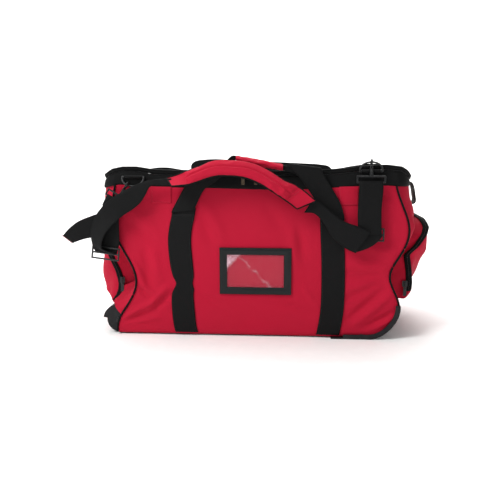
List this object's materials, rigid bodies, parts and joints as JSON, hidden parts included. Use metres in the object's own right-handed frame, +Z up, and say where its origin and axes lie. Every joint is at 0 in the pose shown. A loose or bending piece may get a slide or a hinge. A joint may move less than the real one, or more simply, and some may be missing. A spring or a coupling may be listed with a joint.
{
  "type": "wheeled equipment bag",
  "caption": "Wheeled duffel for hockey equipment: zipped lid, zipped end pockets, carry handles on body webbing, padded shoulder strap, card window and end wheels.",
  "frame": {"origin": "middle of the underside of the base between the two end seams, on the plane the bag stands on", "axes": "+X along the bag's length, away from the wheels; -Y towards the front face with the card window; +Z up"},
  "size_m": [0.8256, 0.4481, 0.4109],
  "materials": {
    "red_fabric": "woven polyester, matte",
    "red_padding": "woven polyester over foam",
    "black_fabric": "woven polyester, matte",
    "black_webbing": "ribbed webbing",
    "black_vinyl": "coated, low sheen",
    "black_plastic": "moulded, fine grain",
    "zipper_tape": "nylon coil",
    "clear_vinyl": "clear flexible sheet",
    "black_metal": "black enamel",
    "brass_metal": "dull plated",
    "steel": "zinc plated",
    "tyre_rubber": "matte"
  },
  "bodies": {
    "bag": {"front_panel": "red_fabric", "back_panel": "red_fabric", "left_end_panel": "red_fabric", "right_end_panel": "red_fabric", "floor_lining": "black_fabric", "base_board": "black_plastic", "base_panel": "black_vinyl", "base_rivets": "steel", "skid_guard": "black_plastic", "end_guard": "black_plastic", "top_collar": "black_fabric", "collar_zipper_chain": "zipper_tape", "body_web_left": "black_webbing", "body_web_right": "black_webbing", "front_handle_legs": "black_webbing", "seam_piping": "black_fabric", "card_frame": "black_vinyl", "card_window": "clear_vinyl", "stitched_patches": "red_fabric", "ring_tabs": "black_webbing", "d_rings": "black_metal", "snap_hooks": "black_metal", "swivel_loops": "black_metal", "strap_end_left": "black_webbing", "strap_end_right": "black_webbing", "strap_slides": "black_metal", "left_pocket_gusset": "red_fabric", "right_pocket_gusset": "red_fabric", "left_pocket_zipper": "zipper_tape", "right_pocket_zipper": "zipper_tape", "wheel_housing_front": "black_plastic", "wheel_housing_back": "black_plastic", "wheel_axles": "steel"},
    "lid": {"lid_panel": "black_fabric", "lid_zipper_chain": "zipper_tape"},
    "main_slider_left": {"main_slider_left": "black_metal"},
    "main_pull_left": {"main_pull_left": "brass_metal"},
    "main_slider_right": {"main_slider_right": "black_metal"},
    "main_pull_right": {"main_pull_right": "brass_metal"},
    "left_pocket_flap": {"left_pocket_flap": "red_fabric"},
    "right_pocket_flap": {"right_pocket_flap": "red_fabric"},
    "left_pocket_slider": {"left_pocket_slider": "black_metal"},
    "left_pocket_pull": {"left_pocket_pull": "black_metal"},
    "right_pocket_slider": {"right_pocket_slider": "black_metal"},
    "right_pocket_pull": {"right_pocket_pull": "black_metal"},
    "front_handle": {"front_handle_web": "black_webbing", "handle_wrap": "red_padding"},
    "rear_handle": {"rear_handle_web": "black_webbing"},
    "wheel_front": {"wheel_front_tyre": "tyre_rubber", "wheel_front_hub": "black_plastic", "wheel_front_bearings": "steel"},
    "wheel_back": {"wheel_back_tyre": "tyre_rubber", "wheel_back_hub": "black_plastic", "wheel_back_bearings": "steel"},
    "hook_gate_left": {"hook_gate_left": "black_metal"},
    "hook_gate_right": {"hook_gate_right": "black_metal"},
    "shoulder_strap": {"shoulder_web": "black_webbing", "shoulder_pad": "red_padding"},
    "grab_loop_left": {"grab_loop_left": "black_webbing"},
    "grab_loop_right": {"grab_loop_right": "black_webbing"}
  },
  "joints": [
    {"name": "lid_hinge", "type": "hinge", "parent": "bag", "child": "lid", "pos_m": [0, 0.1885, 0.366], "axis": [-1, 0, 0], "range_deg": [0, 95]},
    {"name": "main_zip_left", "type": "slide", "parent": "bag", "child": "main_slider_left", "axis": [-1, 0, 0], "range_m": [0, 0.205]},
    {"name": "main_zip_right", "type": "slide", "parent": "bag", "child": "main_slider_right", "axis": [1, 0, 0], "range_m": [0, 0.2]},
    {"name": "main_pull_left_swing", "type": "hinge", "parent": "main_slider_left", "child": "main_pull_left", "pos_m": [-0.022, -0.194, 0.366], "axis": [-1, 0, 0], "range_deg": [0, 50]},
    {"name": "main_pull_right_swing", "type": "hinge", "parent": "main_slider_right", "child": "main_pull_right", "pos_m": [0.006, -0.194, 0.366], "axis": [-1, 0, 0], "range_deg": [0, 50]},
    {"name": "left_pocket_hinge", "type": "hinge", "parent": "bag", "child": "left_pocket_flap", "pos_m": [-0.3362, 0, 0.087], "axis": [0, -1, 0], "range_deg": [0, 100]},
    {"name": "right_pocket_hinge", "type": "hinge", "parent": "bag", "child": "right_pocket_flap", "pos_m": [0.3522, 0, 0.087], "axis": [0, 1, 0], "range_deg": [0, 100]},
    {"name": "left_pocket_zip", "type": "slide", "parent": "bag", "child": "left_pocket_slider", "axis": [-0.3423, 0, 0.9396], "range_m": [0, 0.07]},
    {"name": "right_pocket_zip", "type": "slide", "parent": "bag", "child": "right_pocket_slider", "axis": [-0.1275, 0, 0.9918], "range_m": [0, 0.05]},
    {"name": "left_pocket_pull_swing", "type": "hinge", "parent": "left_pocket_slider", "child": "left_pocket_pull", "pos_m": [-0.313, -0.1403, 0.117], "axis": [-1, 0, 0], "range_deg": [0, 170]},
    {"name": "right_pocket_pull_swing", "type": "hinge", "parent": "right_pocket_slider", "child": "right_pocket_pull", "pos_m": [0.346, -0.1403, 0.117], "axis": [-1, 0, 0], "range_deg": [0, 170]},
    {"name": "front_handle_fold", "type": "hinge", "parent": "bag", "child": "front_handle", "pos_m": [0, -0.202, 0.366], "axis": [-1, 0, 0], "range_deg": [0, 18]},
    {"name": "rear_handle_swing", "type": "hinge", "parent": "bag", "child": "rear_handle", "pos_m": [0, 0.1947, 0.267], "axis": [-1, 0, 0], "range_deg": [0, 165]},
    {"name": "wheel_front_spin", "type": "hinge", "parent": "bag", "child": "wheel_front", "pos_m": [-0.312, -0.163, 0.031], "axis": [0, 1, 0], "continuous": true},
    {"name": "wheel_back_spin", "type": "hinge", "parent": "bag", "child": "wheel_back", "pos_m": [-0.312, 0.163, 0.031], "axis": [0, 1, 0], "continuous": true},
    {"name": "hook_gate_left_swing", "type": "hinge", "parent": "bag", "child": "hook_gate_left", "pos_m": [-0.28143, -0.2113, 0.33991], "axis": [-0.848, 0, 0.5299], "range_deg": [0, 28], "stiffness_Nm_per_rad": 0.002, "springref_deg": -17.19},
    {"name": "hook_gate_right_swing", "type": "hinge", "parent": "bag", "child": "hook_gate_right", "pos_m": [0.255, -0.212, 0.3889], "axis": [-1, 0, 0], "range_deg": [0, 28], "stiffness_Nm_per_rad": 0.002, "springref_deg": -17.19},
    {"name": "strap_swing", "type": "hinge", "parent": "bag", "child": "shoulder_strap", "pos_m": [0, -0.2146, 0.2], "axis": [1, 0, 0], "range_deg": [0, 140]},
    {"name": "grab_loop_left_swing", "type": "hinge", "parent": "bag", "child": "grab_loop_left", "pos_m": [-0.3618, 0, 0.342], "axis": [0, 1, 0], "range_deg": [0, 100]},
    {"name": "grab_loop_right_swing", "type": "hinge", "parent": "bag", "child": "grab_loop_right", "pos_m": [0.3665, 0, 0.342], "axis": [0, -1, 0], "range_deg": [0, 100]}
  ]
}
